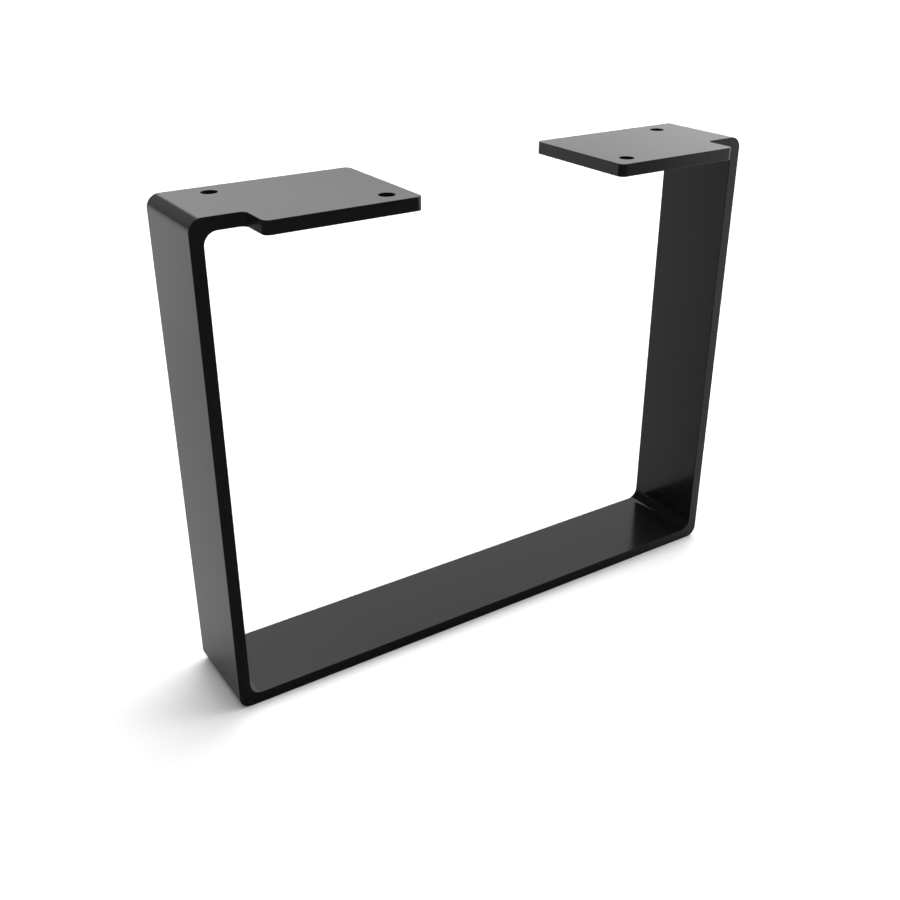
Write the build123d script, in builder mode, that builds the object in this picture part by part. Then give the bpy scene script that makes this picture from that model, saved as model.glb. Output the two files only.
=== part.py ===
"""Sled leg for a table or bench, bent from one flat steel bar.

The bar makes a floor rail, two uprights and two flanges turned inwards at the top. Each flange is
cut wider than the bar, stepping out to the front, and has two screw holes on a diagonal.

Frame: +X along the floor rail, +Y to the back, +Z up, with the origin on the floor in the middle
of the footprint. Millimetres.
"""
from build123d import *
import os

# Overall size, over the outer faces of the bar
leg_width = 500.0
leg_height = 400.0

# The flat bar and its four bends
bar_depth = 80.0
bar_thickness = 10.0
bend_outer_radius = 10.0
bend_inner_radius = 10.0

# The mounting flanges
flange_length = 160.0
flange_depth = 110.0
step_from_side = 40.0
corner_radius = 5.0

# The screw holes: one beside the bend, one near the free end
hole_diameter = 12.0
hole_chamfer = 0.5
outer_hole_from_side = 40.0
outer_hole_from_back = 18.0
inner_hole_from_end = 19.5
inner_hole_from_front = 17.5

# The broken edge that runs all round the bar
edge_radius = 0.5

# Places that follow from the sizes
side_x = leg_width / 2
inner_side_x = side_x - bar_thickness
flange_end_x = side_x - flange_length
flange_under_z = leg_height - bar_thickness
back_y = flange_depth / 2
flange_front_y = back_y - flange_depth
outer_hole = (side_x - outer_hole_from_side, back_y - outer_hole_from_back)
inner_hole = (flange_end_x + inner_hole_from_end, flange_front_y + inner_hole_from_front)

with BuildPart() as sled_leg:
    # The bent bar seen from the front: half of the U, mirrored
    with BuildSketch(Plane.XZ.offset(-back_y)):
        with BuildLine():
            Polyline(
                (0, 0),
                (side_x, 0),
                (side_x, leg_height),
                (flange_end_x, leg_height),
                (flange_end_x, flange_under_z),
                (inner_side_x, flange_under_z),
                (inner_side_x, bar_thickness),
                (0, bar_thickness),
            )
            mirror(about=Plane.YZ)
        make_face()
        inner_corners = vertices().group_by(Axis.X)
        fillet(inner_corners[1] + inner_corners[-2], bend_inner_radius)
        outer_corners = vertices().group_by(Axis.X)
        fillet(outer_corners[0] + outer_corners[-1], bend_outer_radius)
    extrude(amount=bar_depth)

    # The wide part of each flange, seen from above
    with BuildSketch(Plane.XY.offset(flange_under_z)):
        with Locations((flange_end_x, back_y)):
            Rectangle(flange_length - step_from_side, flange_depth, align=(Align.MIN, Align.MAX))
        mirror(about=Plane.YZ)
    extrude(amount=bar_thickness)

    # Rounded corners at the free ends and at both turns of each step
    flange_corners = edges().filter_by(Axis.Z).group_by(SortBy.LENGTH)[0]
    fillet(flange_corners, corner_radius)

    # The edges of the back face run on, tangent all the way, round the ends and along the front
    back_edges = faces().sort_by(Axis.Y)[-1].edges().filter_by(Axis.Z, reverse=True)
    fillet(back_edges, edge_radius)

    # Two screw holes through each flange, deburred at both ends
    with BuildSketch(Plane.XY.offset(leg_height)):
        with Locations(outer_hole, inner_hole):
            Circle(hole_diameter / 2)
        mirror(about=Plane.YZ)
    extrude(amount=-bar_thickness, mode=Mode.SUBTRACT)
    hole_rims = edges(Select.LAST).filter_by(GeomType.CIRCLE)
    chamfer(hole_rims, hole_chamfer)

sled_leg.part.label = "sled_leg"

os.makedirs("parts", exist_ok=True)
export_step(sled_leg.part, "parts/sled_leg.step")
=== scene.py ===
"""The sled leg in satin black powder coat, standing on a white studio floor.

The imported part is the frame: metres, +X along the floor rail, +Y to the back, +Z up, with the
origin on the floor in the middle of the footprint. The bent bar is built again as one closed mesh,
with fine bends and a rounded broken edge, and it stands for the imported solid.
"""

import logging
import math
from dataclasses import dataclass
from enum import Enum
from typing import Any, Union

import bmesh
import bpy
from mathutils import Matrix, Vector


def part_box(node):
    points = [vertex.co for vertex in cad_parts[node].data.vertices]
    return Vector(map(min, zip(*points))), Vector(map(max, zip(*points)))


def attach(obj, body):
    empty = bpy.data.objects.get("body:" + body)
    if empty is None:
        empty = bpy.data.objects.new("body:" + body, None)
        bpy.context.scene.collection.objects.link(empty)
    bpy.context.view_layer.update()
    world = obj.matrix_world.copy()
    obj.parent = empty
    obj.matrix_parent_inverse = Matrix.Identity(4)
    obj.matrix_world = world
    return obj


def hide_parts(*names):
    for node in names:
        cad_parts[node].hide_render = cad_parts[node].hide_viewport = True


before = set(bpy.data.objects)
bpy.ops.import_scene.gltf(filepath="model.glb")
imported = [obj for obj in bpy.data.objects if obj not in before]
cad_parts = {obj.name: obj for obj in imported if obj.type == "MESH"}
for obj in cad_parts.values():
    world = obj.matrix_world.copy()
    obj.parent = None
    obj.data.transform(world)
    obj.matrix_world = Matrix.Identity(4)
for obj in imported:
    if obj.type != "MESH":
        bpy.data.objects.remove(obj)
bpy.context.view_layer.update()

MM = 0.001
IMAGE_PIXELS = 900

# The sockets of a Mix node that mixes colours, which share their names with others
COLOUR_A, COLOUR_B, COLOUR_RESULT = 6, 7, 2

log = logging.getLogger("sled_leg_scene")


class Value:
    """A number that a node gives, which Python arithmetic can be done on.

    Each operator adds the Math node that works it out and returns its result as a new value.
    """

    def __init__(self, tree: "ShaderTree", socket: bpy.types.NodeSocket) -> None:
        """Wraps a node's output socket.

        Args:
            tree: The tree that the node is in.
            socket: The output socket that gives the number.
        """
        self.tree = tree
        self.socket = socket

    def _math(self, operation: str, first: Any, second: Any) -> "Value":
        """Adds a Math node.

        Args:
            operation: The Math node's operation.
            first: The first number, a plain one or a value.
            second: The second number, a plain one or a value.

        Returns:
            The node's result.
        """
        return self.tree.value("ShaderNodeMath", {"operation": operation}, {0: first, 1: second})

    def __add__(self, other: Any) -> "Value":
        """Adds a number to this one."""
        return self._math("ADD", self, other)

    def __radd__(self, other: Any) -> "Value":
        """Adds this number to a plain one."""
        return self._math("ADD", other, self)

    def __sub__(self, other: Any) -> "Value":
        """Takes a number from this one."""
        return self._math("SUBTRACT", self, other)

    def __rsub__(self, other: Any) -> "Value":
        """Takes this number from a plain one."""
        return self._math("SUBTRACT", other, self)

    def __mul__(self, other: Any) -> "Value":
        """Multiplies this number by another."""
        return self._math("MULTIPLY", self, other)

    def __rmul__(self, other: Any) -> "Value":
        """Multiplies a plain number by this one."""
        return self._math("MULTIPLY", other, self)

    def __neg__(self) -> "Value":
        """Turns this number's sign round."""
        return self._math("MULTIPLY", self, -1.0)

    def __abs__(self) -> "Value":
        """Takes this number's sign away."""
        return self._math("ABSOLUTE", self, 0.0)

    def wrapped(self, limit: float) -> "Value":
        """Brings an angle between minus the limit and the limit."""
        return self.tree.value("ShaderNodeMath", {"operation": "WRAP"},
                               {0: self, 1: limit, 2: -limit})

    def smooth_step(self, start: float, full: float) -> "Value":
        """Adds a step from 0 to 1 with soft ends.

        Args:
            start: Where the step leaves 0.
            full: Where it reaches 1.

        Returns:
            The step.
        """
        return self.tree.value("ShaderNodeMapRange", {"interpolation_type": "SMOOTHSTEP"}, {
            "Value": self, "From Min": start, "From Max": full})


class ShaderTree:
    """The node tree of a material or of the world, emptied and ready to be filled."""

    def __init__(self, owner: Union[bpy.types.Material, bpy.types.World]) -> None:
        """Takes over the owner's node tree.

        Args:
            owner: The material or the world whose nodes are to be made.
        """
        owner.use_nodes = True
        self.nodes = owner.node_tree.nodes
        self.links = owner.node_tree.links
        self.nodes.clear()

    def node(self, kind: str, settings: dict[str, Any], inputs: dict[Any, Any]) -> bpy.types.Node:
        """Adds a node, sets it and feeds its sockets.

        Args:
            kind: The node's type.
            settings: The node's own settings, set before its sockets.
            inputs: What each input socket holds or is linked to, by name or number.

        Returns:
            The new node.
        """
        made = self.nodes.new(kind)
        for name, setting in settings.items():
            setattr(made, name, setting)
        for key, feed in inputs.items():
            if isinstance(feed, Value):
                feed = feed.socket
            if isinstance(feed, bpy.types.NodeSocket):
                self.links.new(feed, made.inputs[key])
            else:
                made.inputs[key].default_value = feed
        return made

    def value(self, kind: str, settings: dict[str, Any], inputs: dict[Any, Any],
              output: Any = 0) -> Value:
        """Adds a node and takes one of its outputs as a number.

        Args:
            kind: The node's type.
            settings: The node's own settings.
            inputs: What each input socket holds or is linked to.
            output: The name or number of the output socket.

        Returns:
            The output, ready for arithmetic.
        """
        return Value(self, self.node(kind, settings, inputs).outputs[output])

    def shader(self, kind: str, inputs: dict[Any, Any]) -> bpy.types.NodeSocket:
        """Adds a shader node.

        Args:
            kind: The node's type.
            inputs: What each input socket holds or is linked to.

        Returns:
            The shader's output socket.
        """
        return self.node(kind, {}, inputs).outputs[0]


@dataclass(frozen=True)
class PowderCoat:
    """Satin black powder coat: near black, a soft gloss, and a fine orange peel.

    The peel is a slow waviness of the cured film with a much finer grain on it. Clouds and grain
    together carry the tone from dark to light, of which cloud_share is the clouds' part, and move
    the roughness by roughness_spread from its lowest to its highest.
    """

    name: str = "satin_black_powder_coat"
    dark: tuple[float, float, float] = (0.0100, 0.0100, 0.0104)
    light: tuple[float, float, float] = (0.0146, 0.0146, 0.0152)
    roughness: float = 0.17
    roughness_spread: float = 0.05
    film_index: float = 1.5
    cloud_size: float = 60 * MM
    cloud_share: float = 0.6
    peel_size: float = 2.2 * MM
    peel_height: float = 0.010 * MM
    grain_size: float = 0.45 * MM
    grain_height: float = 0.0020 * MM

    def material(self) -> bpy.types.Material:
        """Makes the finish as a material.

        Returns:
            The material, in the part's own metres.
        """
        made = bpy.data.materials.new(self.name)
        tree = ShaderTree(made)
        place = tree.node("ShaderNodeTexCoord", {}, {}).outputs["Object"]
        clouds = self._noise(tree, place, self.cloud_size, detail=2.0)
        peel = self._noise(tree, place, self.peel_size, detail=1.0)
        grain = self._noise(tree, place, self.grain_size, detail=2.0)
        tone = tree.node("ShaderNodeMix", {"data_type": "RGBA"}, {
            "Factor": self.cloud_share * clouds + (1 - self.cloud_share) * grain,
            COLOUR_A: (*self.dark, 1.0),
            COLOUR_B: (*self.light, 1.0),
        }).outputs[COLOUR_RESULT]
        roughness = self.roughness + (self.roughness_spread / 2) * (clouds + grain - 1)
        relief = self.peel_height * peel + self.grain_height * grain
        bump = tree.node("ShaderNodeBump", {}, {"Strength": 1.0, "Distance": 1.0, "Height": relief})
        coat = tree.shader("ShaderNodeBsdfPrincipled", {
            "Base Color": tone,
            "Roughness": roughness,
            "IOR": self.film_index,
            "Normal": bump.outputs[0],
        })
        tree.node("ShaderNodeOutputMaterial", {}, {"Surface": coat})
        return made

    @staticmethod
    def _noise(tree: ShaderTree, place: bpy.types.NodeSocket, size: float, detail: float) -> Value:
        """Adds a noise that runs from 0 to 1 about a half.

        Args:
            tree: The tree to add it to.
            place: The socket that gives the place in metres.
            size: The size of its features, in metres.
            detail: How many finer octaves it has.

        Returns:
            The noise.
        """
        return tree.value("ShaderNodeTexNoise", {}, {
            "Vector": place, "Scale": 1.0 / size, "Detail": detail})


class Face(Enum):
    """The bar's two broad faces, with the way that each looks along the line across the bar."""

    OUTER = 1
    INNER = -1


@dataclass(frozen=True)
class EdgeLine:
    """One of the lines that the broken edge is drawn with.

    inset is measured along the face from the outline, and depth into the bar from the face. lean
    is the angle that the surface has turned through there, from the face to the side wall.
    """

    face: Face
    inset: float
    depth: float
    lean: float


@dataclass(frozen=True)
class RimPoint:
    """A point of an outline cut through the bar, before its edges are broken.

    outer and inner are the outline's corners on the two broad faces, up is the way that the outer
    face looks there, and out lies in the face and points away from the metal.
    """

    outer: Vector
    inner: Vector
    up: Vector
    out: Vector

    def at(self, line: EdgeLine) -> tuple[Vector, Vector]:
        """Works out where an edge line passes this point.

        Args:
            line: The edge line.

        Returns:
            The place and the surface's normal there.
        """
        corner = self.outer if line.face is Face.OUTER else self.inner
        face_normal = self.up * line.face.value
        place = corner - self.out * line.inset - face_normal * line.depth
        normal = face_normal * math.cos(line.lean) + self.out * math.sin(line.lean)
        return place, normal

    def mirrored(self) -> "RimPoint":
        """Gives the same point on the other side of the middle."""
        flip = Vector((-1.0, 1.0, 1.0))
        return RimPoint(self.outer * flip, self.inner * flip, self.up * flip, self.out * flip)


@dataclass(frozen=True)
class Station:
    """A line across the bar seen from the front, from the outer face to the inner one."""

    outer: Vector
    inner: Vector
    up: Vector

    def rim_point(self, y: float, out: Vector) -> RimPoint:
        """Gives the point where an outline crosses this station.

        Args:
            y: How far back the outline is there.
            out: The way out of the metal, in the plane of the face.

        Returns:
            The point of the outline.
        """
        back = Vector((0.0, y, 0.0))
        return RimPoint(self.outer + back, self.inner + back, self.up, out)


@dataclass
class BentBar:
    """The leg's one piece: a flat bar bent into a U, cut wider at each end for a flange.

    The right half is worked out and mirrored. The outline runs in one loop: from the front of the
    floor rail up the right upright, round the flange, down its back, and the same on the left.
    """

    low: Vector
    high: Vector
    bar_depth: float = 80 * MM
    thickness: float = 10 * MM
    bend_outer_radius: float = 10 * MM
    bend_inner_radius: float = 10 * MM
    flange_length: float = 160 * MM
    step_from_side: float = 40 * MM
    corner_radius: float = 5 * MM
    edge_radius: float = 0.35 * MM
    hole_diameter: float = 12 * MM
    outer_hole_from_side: float = 40 * MM
    outer_hole_from_back: float = 18 * MM
    inner_hole_from_end: float = 19.5 * MM
    inner_hole_from_front: float = 17.5 * MM
    flat_run: float = 10 * MM
    bend_steps: int = 20
    corner_steps: int = 10
    edge_steps: int = 5
    hole_steps: int = 64

    @property
    def side(self) -> float:
        """How far the uprights' outer faces are from the middle."""
        return (self.high.x - self.low.x) / 2

    @property
    def height(self) -> float:
        """The height of the flanges' upper faces."""
        return self.high.z

    @property
    def back(self) -> float:
        """Where the back edge of the bar and of the flanges is."""
        return self.high.y

    @property
    def bar_front(self) -> float:
        """Where the front edge of the bar is."""
        return self.high.y - self.bar_depth

    @property
    def flange_front(self) -> float:
        """Where the front edge of a flange's wide part is."""
        return self.low.y

    @property
    def step(self) -> float:
        """How far the steps of the flanges are from the middle."""
        return self.side - self.step_from_side

    @property
    def free_end(self) -> float:
        """How far the flanges' free ends are from the middle."""
        return self.side - self.flange_length

    def build(self, coat: bpy.types.Material) -> bpy.types.Object:
        """Builds the bar and dresses it.

        Args:
            coat: The finish of the whole bar.

        Returns:
            The finished piece, in place.
        """
        mesh = self._mesh("bent_bar")
        mesh.materials.append(coat)
        bar = bpy.data.objects.new("bent_bar", mesh)
        bpy.context.scene.collection.objects.link(bar)
        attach(bar, "root")
        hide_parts("sled_leg")
        return bar

    def _mesh(self, name: str) -> bpy.types.Mesh:
        """Builds the bar's closed surface.

        Args:
            name: The mesh's name.

        Returns:
            The mesh, with the true normals of its flats, bends and edges.
        """
        work = bmesh.new()
        normals: list[Vector] = []
        stations = self._stations()
        half = self._half_outline(stations)
        outline = half + [point.mirrored() for point in reversed(half)]
        rim = self._skin_edge(work, normals, outline)
        holes = {mirror: [self._skin_edge(work, normals, self._hole(centre, mirror))
                          for centre in self._hole_centres()] for mirror in (False, True)}
        for face, line in ((Face.OUTER, 0), (Face.INNER, -1)):
            self._fill_bar(work, rim[line], len(stations), len(half))
            for mirror in (False, True):
                edge = self._flange_edge(rim[line], len(stations), len(half), mirror)
                self._fill_flange(work, edge, [hole[line] for hole in holes[mirror]], face)
        bmesh.ops.recalc_face_normals(work, faces=work.faces)
        for part in work.faces:
            part.smooth = True
        mesh = bpy.data.meshes.new(name)
        work.to_mesh(mesh)
        work.free()
        mesh.normals_split_custom_set_from_vertices(normals)
        return mesh

    def _stations(self) -> list[Station]:
        """Lists the stations of the right half.

        Returns:
            The stations, from the end of the rail's flat to the flat of the flange.
        """
        lower_outer = (self.side - self.bend_outer_radius, self.bend_outer_radius)
        lower_inner_gap = self.thickness + self.bend_inner_radius
        lower_inner = (self.side - lower_inner_gap, lower_inner_gap)
        upper_outer = (self.side - self.bend_outer_radius, self.height - self.bend_outer_radius)
        upper_inner = (self.side - lower_inner_gap, self.height - lower_inner_gap)
        lower = self._bend(lower_outer, lower_inner, start=-math.pi / 2)
        upper = self._bend(upper_outer, upper_inner, start=0.0)
        flat_x = upper_inner[0] - self.flat_run
        flat = self._flat_station(flat_x)
        return lower + upper + [flat]

    def _bend(self, outer_centre: tuple[float, float], inner_centre: tuple[float, float],
              start: float) -> list[Station]:
        """Lists the stations of one bend.

        Args:
            outer_centre: The x and z of the outer arc's centre.
            inner_centre: The x and z of the inner arc's centre.
            start: The angle at which the quarter turn starts, from +X towards +Z.

        Returns:
            The stations, from the one nearest the floor rail on.
        """
        stations = []
        for step in range(self.bend_steps + 1):
            angle = start + math.pi / 2 * step / self.bend_steps
            up = Vector((math.cos(angle), 0.0, math.sin(angle)))
            outer = Vector((outer_centre[0], 0.0, outer_centre[1])) + up * self.bend_outer_radius
            inner = Vector((inner_centre[0], 0.0, inner_centre[1])) + up * self.bend_inner_radius
            stations.append(Station(outer, inner, up))
        return stations

    def _flat_station(self, x: float) -> Station:
        """Gives a station straight through the right flange.

        Args:
            x: How far it is from the middle.

        Returns:
            The station.
        """
        outer = Vector((x, 0.0, self.height))
        inner = Vector((x, 0.0, self.height - self.thickness))
        return Station(outer, inner, Vector((0.0, 0.0, 1.0)))

    def _flat_point(self, x: float, y: float, out: Vector) -> RimPoint:
        """Gives a point of an outline in the flat of the right flange."""
        return self._flat_station(x).rim_point(y, out)

    def _half_outline(self, stations: list[Station]) -> list[RimPoint]:
        """Lists the outline of the right half, from the rail's front edge to its back edge.

        Args:
            stations: The stations of the right half.

        Returns:
            The points, with as many at the start and at the end as there are stations.
        """
        to_front = Vector((0.0, -1.0, 0.0))
        to_back = Vector((0.0, 1.0, 0.0))
        radius = self.corner_radius
        points = [station.rim_point(self.bar_front, to_front) for station in stations]
        points += self._corner(self.step + radius, self.bar_front - radius, 90.0, 180.0, -1.0)
        points += self._corner(self.step - radius, self.flange_front + radius, 0.0, -90.0, 1.0)
        points += self._corner(self.free_end + radius, self.flange_front + radius, -90.0, -180.0,
                               1.0)
        points += self._corner(self.free_end + radius, self.back - radius, 180.0, 90.0, 1.0)
        points += [station.rim_point(self.back, to_back) for station in reversed(stations)]
        return points

    def _corner(self, x: float, y: float, start: float, end: float,
                metal: float) -> list[RimPoint]:
        """Lists the points of a rounded corner of the right flange.

        Args:
            x: The arc's centre, from the middle.
            y: The arc's centre, to the back.
            start: The angle at which the arc starts, in degrees from +X towards +Y.
            end: The angle at which it ends.
            metal: 1 where the metal is inside the arc, and -1 where it is outside.

        Returns:
            The points, in order.
        """
        points = []
        for step in range(self.corner_steps + 1):
            angle = math.radians(start + (end - start) * step / self.corner_steps)
            ray = Vector((math.cos(angle), math.sin(angle), 0.0))
            place = Vector((x, y, 0.0)) + ray * self.corner_radius
            points.append(self._flat_point(place.x, place.y, ray * metal))
        return points

    def _hole_centres(self) -> list[tuple[float, float]]:
        """Lists the centres of the screw holes of the right flange."""
        return [
            (self.side - self.outer_hole_from_side, self.back - self.outer_hole_from_back),
            (self.free_end + self.inner_hole_from_end,
             self.flange_front + self.inner_hole_from_front),
        ]

    def _hole(self, centre: tuple[float, float], mirror: bool) -> list[RimPoint]:
        """Lists the outline of a screw hole.

        Args:
            centre: The hole's centre in the right flange.
            mirror: Whether the hole is the left flange's.

        Returns:
            The points, in order.
        """
        points = []
        for step in range(self.hole_steps):
            angle = 2 * math.pi * step / self.hole_steps
            ray = Vector((math.cos(angle), math.sin(angle), 0.0))
            place = Vector((*centre, 0.0)) + ray * (self.hole_diameter / 2)
            point = self._flat_point(place.x, place.y, -ray)
            points.append(point.mirrored() if mirror else point)
        return points

    def _edge_lines(self) -> list[EdgeLine]:
        """Lists the lines that the broken edges are drawn with.

        Returns:
            The lines, from the outer face over the wall to the inner face.
        """
        quarter = [math.pi / 2 * step / self.edge_steps for step in range(self.edge_steps + 1)]
        turn = [(self.edge_radius * (1 - math.sin(lean)), self.edge_radius * (1 - math.cos(lean)),
                 lean) for lean in quarter]
        outer = [EdgeLine(Face.OUTER, *measures) for measures in turn]
        inner = [EdgeLine(Face.INNER, *measures) for measures in reversed(turn)]
        return outer + inner

    def _skin_edge(self, work: bmesh.types.BMesh, normals: list[Vector],
                   outline: list[RimPoint]) -> list[list[bmesh.types.BMVert]]:
        """Makes the wall along a closed outline, with both its edges broken.

        Args:
            work: The mesh to add it to.
            normals: The normals of the mesh's vertices so far, which this adds to.
            outline: The outline's points, in order.

        Returns:
            The vertices of each edge line, in the outline's order.
        """
        rings = []
        for line in self._edge_lines():
            ring = []
            for point in outline:
                place, normal = point.at(line)
                ring.append(work.verts.new(place))
                normals.append(normal)
            rings.append(ring)
        for upper, lower in zip(rings, rings[1:]):
            for index in range(len(outline)):
                after = (index + 1) % len(outline)
                work.faces.new((upper[index], upper[after], lower[after], lower[index]))
        return rings

    @staticmethod
    def _fill_bar(work: bmesh.types.BMesh, ring: list[bmesh.types.BMVert], stations: int,
                  half: int) -> None:
        """Fills one broad face of the rail, the uprights and the bends with strips across.

        Args:
            work: The mesh to add them to.
            ring: The face's edge line.
            stations: How many stations each half has.
            half: How many points each half of the outline has.
        """
        def across(station: int) -> tuple[bmesh.types.BMVert, bmesh.types.BMVert]:
            """Gives a station's front and back vertices; left ones count down from -1."""
            return ring[station], ring[half - 1 - station]

        for first in range(-stations, stations - 1):
            (front, back), (next_front, next_back) = across(first), across(first + 1)
            work.faces.new((front, next_front, next_back, back))

    @staticmethod
    def _flange_edge(ring: list[bmesh.types.BMVert], stations: int, half: int,
                     mirror: bool) -> list[bmesh.types.BMVert]:
        """Gives the part of an edge line that goes round one flange.

        Args:
            ring: The edge line.
            stations: How many stations each half has.
            half: How many points each half of the outline has.
            mirror: Whether the flange is the left one.

        Returns:
            The vertices, from the flat's first station round the free end and back to it.
        """
        start = half if mirror else 0
        return ring[start + stations - 1:start + half - stations + 1]

    @staticmethod
    def _fill_flange(work: bmesh.types.BMesh, edge: list[bmesh.types.BMVert],
                     holes: list[list[bmesh.types.BMVert]], face: Face) -> None:
        """Fills one broad face of a flange, round its screw holes.

        Args:
            work: The mesh to add it to.
            edge: The vertices round the flange, whose first and last are joined by a strip.
            holes: The vertices round each hole.
            face: The face that is filled.
        """
        sides = []
        for loop in (edge, *holes):
            for vertex, after in zip(loop, loop[1:] + loop[:1]):
                sides.append(work.edges.get((vertex, after)) or work.edges.new((vertex, after)))
        bmesh.ops.triangle_fill(work, use_beauty=True, use_dissolve=False, edges=sides,
                                normal=(0.0, 0.0, float(face.value)))


@dataclass
class PhotoCamera:
    """The camera, where the photograph was taken from, found from the leg's straight edges.

    The angles are in radians: heading from +Y towards +X, tilt up from level, and roll of the right
    side upwards.
    """

    place: Vector = Vector((-482.363 * MM, -692.733 * MM, 583.273 * MM))
    heading: float = 0.57538
    tilt: float = -0.46965
    roll: float = -0.00083
    focal_pixels: float = 1087.20
    sensor: float = 36.0
    nearest: float = 0.01
    farthest: float = 100.0

    def build(self) -> bpy.types.Object:
        """Sets up the camera and makes it the scene's.

        Returns:
            The camera.
        """
        level = math.cos(self.tilt)
        ahead = Vector((math.sin(self.heading) * level, math.cos(self.heading) * level,
                        math.sin(self.tilt)))
        right = ahead.cross(Vector((0.0, 0.0, 1.0))).normalized()
        up = right.cross(ahead)
        turned_right = right * math.cos(self.roll) + up * math.sin(self.roll)
        turned_up = up * math.cos(self.roll) - right * math.sin(self.roll)
        data = bpy.data.cameras.new("photo_camera")
        data.sensor_width = self.sensor
        data.lens = self.focal_pixels / IMAGE_PIXELS * self.sensor
        data.clip_start, data.clip_end = self.nearest, self.farthest
        camera = bpy.data.objects.new("photo_camera", data)
        turn = Matrix((turned_right, turned_up, -ahead)).transposed()
        camera.matrix_world = Matrix.Translation(self.place) @ turn.to_4x4()
        bpy.context.scene.collection.objects.link(camera)
        bpy.context.scene.camera = camera
        return camera


@dataclass(frozen=True)
class Card:
    """A wall, card or stretch of floor of the studio, as the leg's gloss mirrors it.

    left and right are compass angles: 0 in front of the leg, 90 to its right, 180 behind it.
    bottom and top are heights of the direction, from -1 straight down to 1 straight up, and an end
    at -2 or 2 is out of sight. glow is the brightness in the middle and tilt what the right side
    has more. The edges fade over side_blur in degrees and end_blur in height.
    """

    name: str
    left: float
    right: float
    bottom: float
    top: float
    glow: float
    tilt: float = 0.0
    side_blur: float = 3.0
    end_blur: float = 0.12

    def laid_over(self, under: Union[float, Value], compass: Value, up: Value) -> Value:
        """Lays the card over what is behind it.

        Args:
            under: The brightness behind the card.
            compass: The direction's compass angle, in degrees.
            up: The direction's height.

        Returns:
            The brightness with the card in place.
        """
        half = (self.right - self.left) / 2
        half_blur, end = self.side_blur / 2, self.end_blur / 2
        aside = (compass - (self.left + self.right) / 2).wrapped(180.0)
        share = (abs(aside).smooth_step(half + half_blur, half - half_blur)
                 * up.smooth_step(self.bottom - end, self.bottom + end)
                 * up.smooth_step(self.top + end, self.top - end))
        glow = aside * (self.tilt / half) + self.glow if self.tilt else self.glow
        return under + (glow - under) * share


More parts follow.
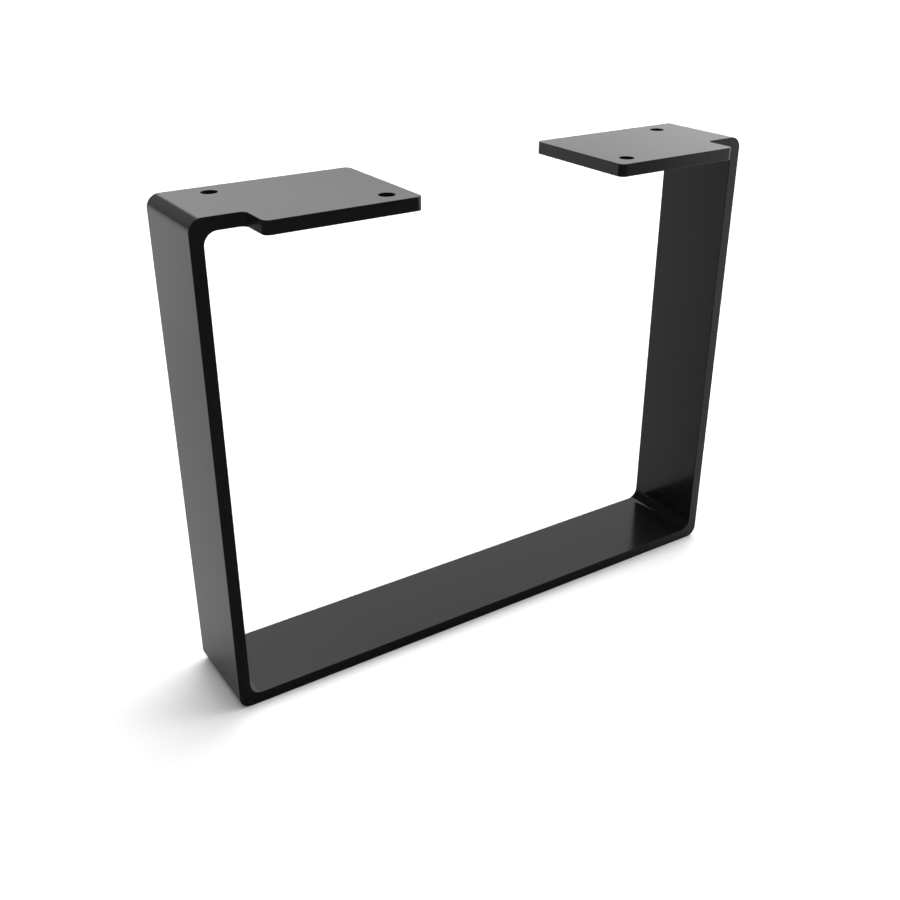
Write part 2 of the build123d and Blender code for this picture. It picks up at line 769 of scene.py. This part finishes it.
@dataclass(frozen=True)
class Surround:
    """What stands round the leg: white cards behind and to the right, and dark in front.

    The camera sees plain white. Gloss sees the dark room with its cards, each laid over the ones
    before it. Matt paint is lit by a sky that grows with height, to overhead straight up, and has
    one broad bright side, behind the leg to its right, whose key angles are in degrees.
    """

    dark_room: float = 0.03
    cards: tuple[Card, ...] = (
        Card("left wall", -108, 8, 0.0, 2.0, 0.40, side_blur=30),
        Card("upper walls", -60, 140, 0.28, 2.0, 0.60, 0.05, side_blur=30, end_blur=0.16),
        Card("white floor", 46.6, 190, -2.0, 0.0, 0.90, 0.12, side_blur=1.6, end_blur=0.15),
        Card("floor behind", 165, 228.5, -2.0, 0.0, 0.62, -0.15, end_blur=0.15),
        Card("far floor", 44.8, 190, -0.33, 0.0, 0.90, 0.12, end_blur=0.16),
        Card("far floor behind", 165, 228.5, -0.33, 0.0, 0.75, -0.25, end_blur=0.16),
        Card("dark doorway", 0, 43, -2.0, 0.10, 0.0, side_blur=1, end_blur=0.16),
        Card("right wall", 45, 160, 0.0, 0.30, 0.94),
        Card("side card", 60, 138, 0.0, 0.30, 1.12, side_blur=8),
        Card("back wall", 145, 178, 0.0, 0.30, 0.60, 0.15, side_blur=8),
        Card("foot of the back wall", 134, 178, 0.0, 0.13, 0.66, side_blur=6, end_blur=0.08),
        Card("rear wall", 171, 204, -0.03, 0.45, 0.34, side_blur=8),
        Card("upper back wall", 130, 171, 0.32, 0.90, 0.85, 0.18, side_blur=6),
        Card("softbox", 144, 171, 0.225, 0.34, 1.29, 0.13, side_blur=6, end_blur=0.10),
        Card("high window", 156, 170, 0.68, 0.90, 2.10, end_blur=0.16),
        Card("ceiling", -200, 200, 0.94, 2.0, 0.90, end_blur=0.08),
    )
    key_strength: float = 2.0
    key_compass: float = 116.8
    key_height: float = 15.9
    key_spread: float = 56.0
    key_edge: float = 6.5
    overhead: float = 0.687

    def build(self) -> bpy.types.World:
        """Makes the world and gives it to the scene.

        Returns:
            The world.
        """
        world = bpy.data.worlds.new("studio")
        bpy.context.scene.world = world
        world.cycles.sampling_method = "NONE"
        tree = ShaderTree(world)
        way = tree.node("ShaderNodeTexCoord", {}, {}).outputs["Generated"]
        parts = tree.node("ShaderNodeSeparateXYZ", {}, {"Vector": way})
        across, back, up = (Value(tree, socket) for socket in parts.outputs)
        ray = tree.node("ShaderNodeLightPath", {}, {})
        seen = Value(tree, ray.outputs["Is Camera Ray"])
        glossy = Value(tree, ray.outputs["Is Glossy Ray"])
        strength = (seen + glossy * self._mirrored(tree, across, back, up)
                    + (1 - seen - glossy) * self._matt_light(tree, across, back, up))
        light = tree.shader("ShaderNodeBackground", {"Color": (1, 1, 1, 1), "Strength": strength})
        tree.node("ShaderNodeOutputWorld", {}, {"Surface": light})
        log.info("%s: %s", world.name, ", ".join(card.name for card in self.cards))
        return world

    def _mirrored(self, tree: ShaderTree, across: Value, back: Value, up: Value) -> Value:
        """Works out how bright the studio is to gloss.

        Args:
            tree: The world's tree.
            across: How far the direction goes to the right.
            back: How far it goes back.
            up: How far it goes up.

        Returns:
            The brightness in that direction.
        """
        turn = tree.value("ShaderNodeMath", {"operation": "ARCTAN2"}, {0: across, 1: -back})
        compass = turn * math.degrees(1.0)
        grey: Union[float, Value] = self.dark_room
        for card in self.cards:
            grey = card.laid_over(grey, compass, up)
        return grey

    def _matt_light(self, tree: ShaderTree, across: Value, back: Value, up: Value) -> Value:
        """Works out how bright the studio is to matt paint.

        Args:
            tree: The world's tree.
            across: How far the direction goes to the right.
            back: How far it goes back.
            up: How far it goes up.

        Returns:
            The brightness in that direction, which lights a level surface at a strength of 1.
        """
        compass, height = math.radians(self.key_compass), math.radians(self.key_height)
        facing = (across * (math.cos(height) * math.sin(compass))
                  + back * (-math.cos(height) * math.cos(compass)) + up * math.sin(height))
        rim = math.cos(math.radians(self.key_spread + self.key_edge))
        heart = math.cos(math.radians(self.key_spread - self.key_edge))
        key = facing.smooth_step(rim, heart) * self.key_strength
        clear_up = tree.value("ShaderNodeMath", {"operation": "MAXIMUM"}, {0: up, 1: 0.0})
        return key + clear_up * self.overhead


@dataclass(frozen=True)
class StudioFloor:
    """The white floor. It keeps the leg's shadow, and is clear from below.

    Its paint is white. The camera sees white added to it, so that it clips where no shadow falls,
    and a painted contact shade close to the leg, mixed towards black by ambient occlusion. Gloss
    looks through it at the surround's own floor, with shade painted in near the leg.
    """

    half_size: float = 30.0
    white: float = 0.80
    added_white: float = 0.584
    shade_samples: int = 8
    shade_reach: float = 90 * MM
    shade_power: float = 2.0
    contact_reach: float = 18 * MM
    contact_power: float = 0.3

    def build(self) -> bpy.types.Object:
        """Lays the floor under the leg.

        Returns:
            The floor.
        """
        reach = self.half_size
        mesh = bpy.data.meshes.new("floor")
        corners = [(-reach, -reach, 0), (reach, -reach, 0), (reach, reach, 0), (-reach, reach, 0)]
        mesh.from_pydata(corners, [], [(0, 1, 2, 3)])
        mesh.materials.append(self._material())
        floor = bpy.data.objects.new("floor", mesh)
        bpy.context.scene.collection.objects.link(floor)
        return floor

    def _material(self) -> bpy.types.Material:
        """Makes the floor's matt white.

        Returns:
            The material, which looks different to the camera, to gloss and to all other light.
        """
        made = bpy.data.materials.new("floor_white")
        tree = ShaderTree(made)
        ray = tree.node("ShaderNodeLightPath", {}, {})
        paint = tree.shader("ShaderNodeBsdfDiffuse", {"Color": (*[self.white] * 3, 1.0)})
        more = tree.shader("ShaderNodeBsdfDiffuse", {"Color": (*[self.added_white] * 3, 1.0)})
        clipping = tree.shader("ShaderNodeAddShader", {0: paint, 1: more})
        # Painted contact shade: near the leg, the floor that the camera sees is mixed towards black
        # by ambient occlusion, on top of the shadow that the lights cast.
        painted_shade_black = tree.shader("ShaderNodeBsdfDiffuse", {"Color": (0.0, 0.0, 0.0, 1.0)})
        contact = self._clearness(tree, self.contact_reach, self.contact_power)
        seen = tree.shader("ShaderNodeMixShader", {"Fac": contact, 1: painted_shade_black, 2: clipping})
        lit = tree.shader("ShaderNodeMixShader", {
            "Fac": ray.outputs["Is Camera Ray"], 1: paint, 2: seen})
        # Painted shade in the reflection: gloss sees the surround through the floor, mixed towards
        # black by ambient occlusion near the leg.
        clearness = self._clearness(tree, self.shade_reach, self.shade_power)
        through = tree.shader("ShaderNodeBsdfTransparent", {})
        mirrored = tree.shader("ShaderNodeMixShader", {"Fac": clearness, 1: painted_shade_black, 2: through})
        upper = tree.shader("ShaderNodeMixShader", {
            "Fac": ray.outputs["Is Glossy Ray"], 1: lit, 2: mirrored})
        under = tree.node("ShaderNodeNewGeometry", {}, {}).outputs["Backfacing"]
        floor = tree.shader("ShaderNodeMixShader", {"Fac": under, 1: upper, 2: through})
        tree.node("ShaderNodeOutputMaterial", {}, {"Surface": floor})
        return made

    def _clearness(self, tree: ShaderTree, reach: float, power: float) -> Value:
        """Adds how clear the floor is of what stands over it, from 0 to 1, by ambient occlusion; it
        masks painted shade.

        Args:
            tree: The tree to add it to.
            reach: How far away a thing still counts, in metres.
            power: How strongly it counts.

        Returns:
            The clearness.
        """
        clear = tree.value("ShaderNodeAmbientOcclusion", {"samples": self.shade_samples},
                           {"Distance": reach}, "AO")
        return tree.value("ShaderNodeMath", {"operation": "POWER"}, {0: clear, 1: power})


def main() -> None:
    """Builds the leg and the studio."""
    logging.basicConfig(level=logging.INFO, format="%(name)s: %(message)s")
    bpy.context.scene.view_settings.view_transform = "Standard"
    coat = PowderCoat().material()
    bar = BentBar(*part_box("sled_leg")).build(coat)
    log.info("%s: %d faces, %s", bar.name, len(bar.data.polygons), coat.name)
    for part in (StudioFloor(), Surround(), PhotoCamera()):
        made = part.build()
        log.info("%s: ready", made.name)


if __name__ == "__main__":
    main()
